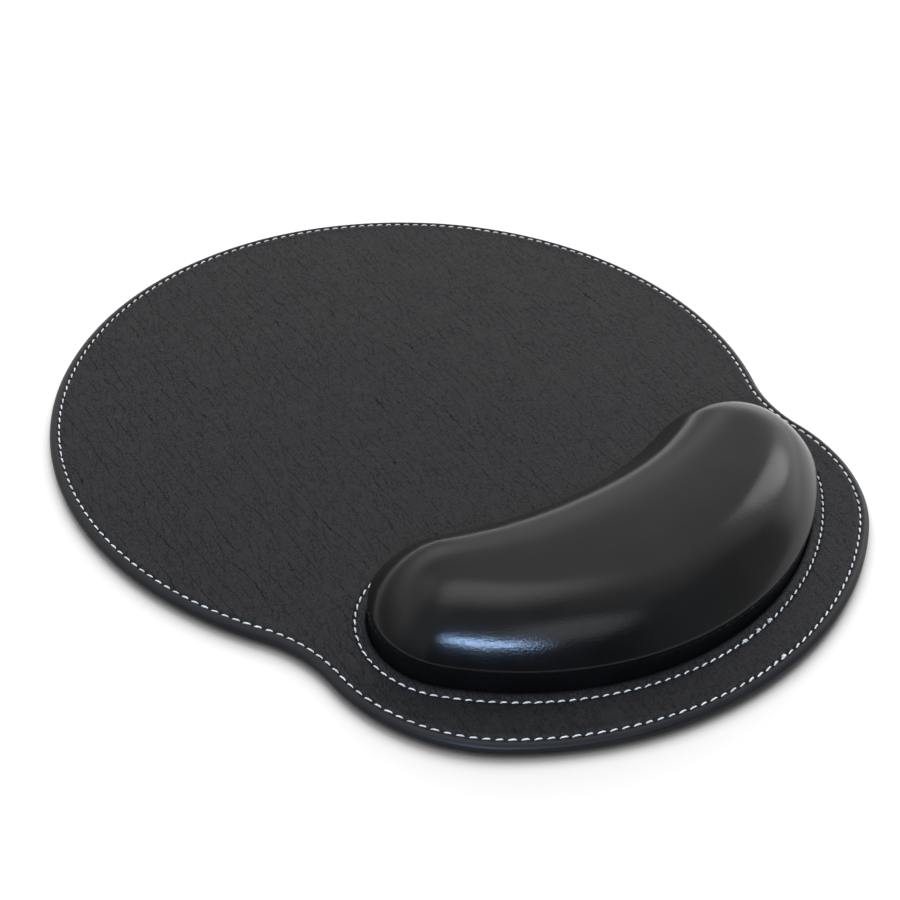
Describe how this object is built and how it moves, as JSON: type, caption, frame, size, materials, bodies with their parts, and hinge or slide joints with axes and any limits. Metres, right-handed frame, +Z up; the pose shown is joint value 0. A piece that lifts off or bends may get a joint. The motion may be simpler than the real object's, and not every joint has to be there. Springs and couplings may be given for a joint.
{
  "type": "wrist rest mouse pad",
  "caption": "Flat stitched leather mouse pad with a raised kidney-shaped wrist cushion sewn in at its near end and an anti-slip underside.",
  "frame": {"origin": "middle of the pad's underside, on the desk", "axes": "+Z up from the desk, +Y away from the user towards the far end of the pad, +X to the user's right"},
  "size_m": [0.2346, 0.2683, 0.0287],
  "materials": {
    "grained_leather": "black pebble-grained leather, low sheen",
    "moulded_leather": "black smooth moulded leather, satin",
    "foam_sheet": "grey open-cell foam",
    "fibre_board": "pressed fibre board",
    "grip_sheet": "black anti-slip sheet with fine ribs, matt",
    "cushion_foam": "cream slow-recovery foam",
    "firm_foam": "dark closed-cell foam",
    "white_thread": "twisted white polyester thread",
    "black_thread": "twisted black polyester thread"
  },
  "bodies": {
    "root": {"top_cover": "grained_leather", "padding_foam": "foam_sheet", "stiffener_board": "fibre_board", "base_sheet": "grip_sheet", "cushion_cover": "moulded_leather", "cushion_foam": "cushion_foam", "cushion_block": "firm_foam", "rim_needle_thread": "white_thread", "rim_bobbin_thread": "black_thread", "ring_needle_thread": "white_thread", "ring_bobbin_thread": "black_thread"}
  },
  "joints": []
}
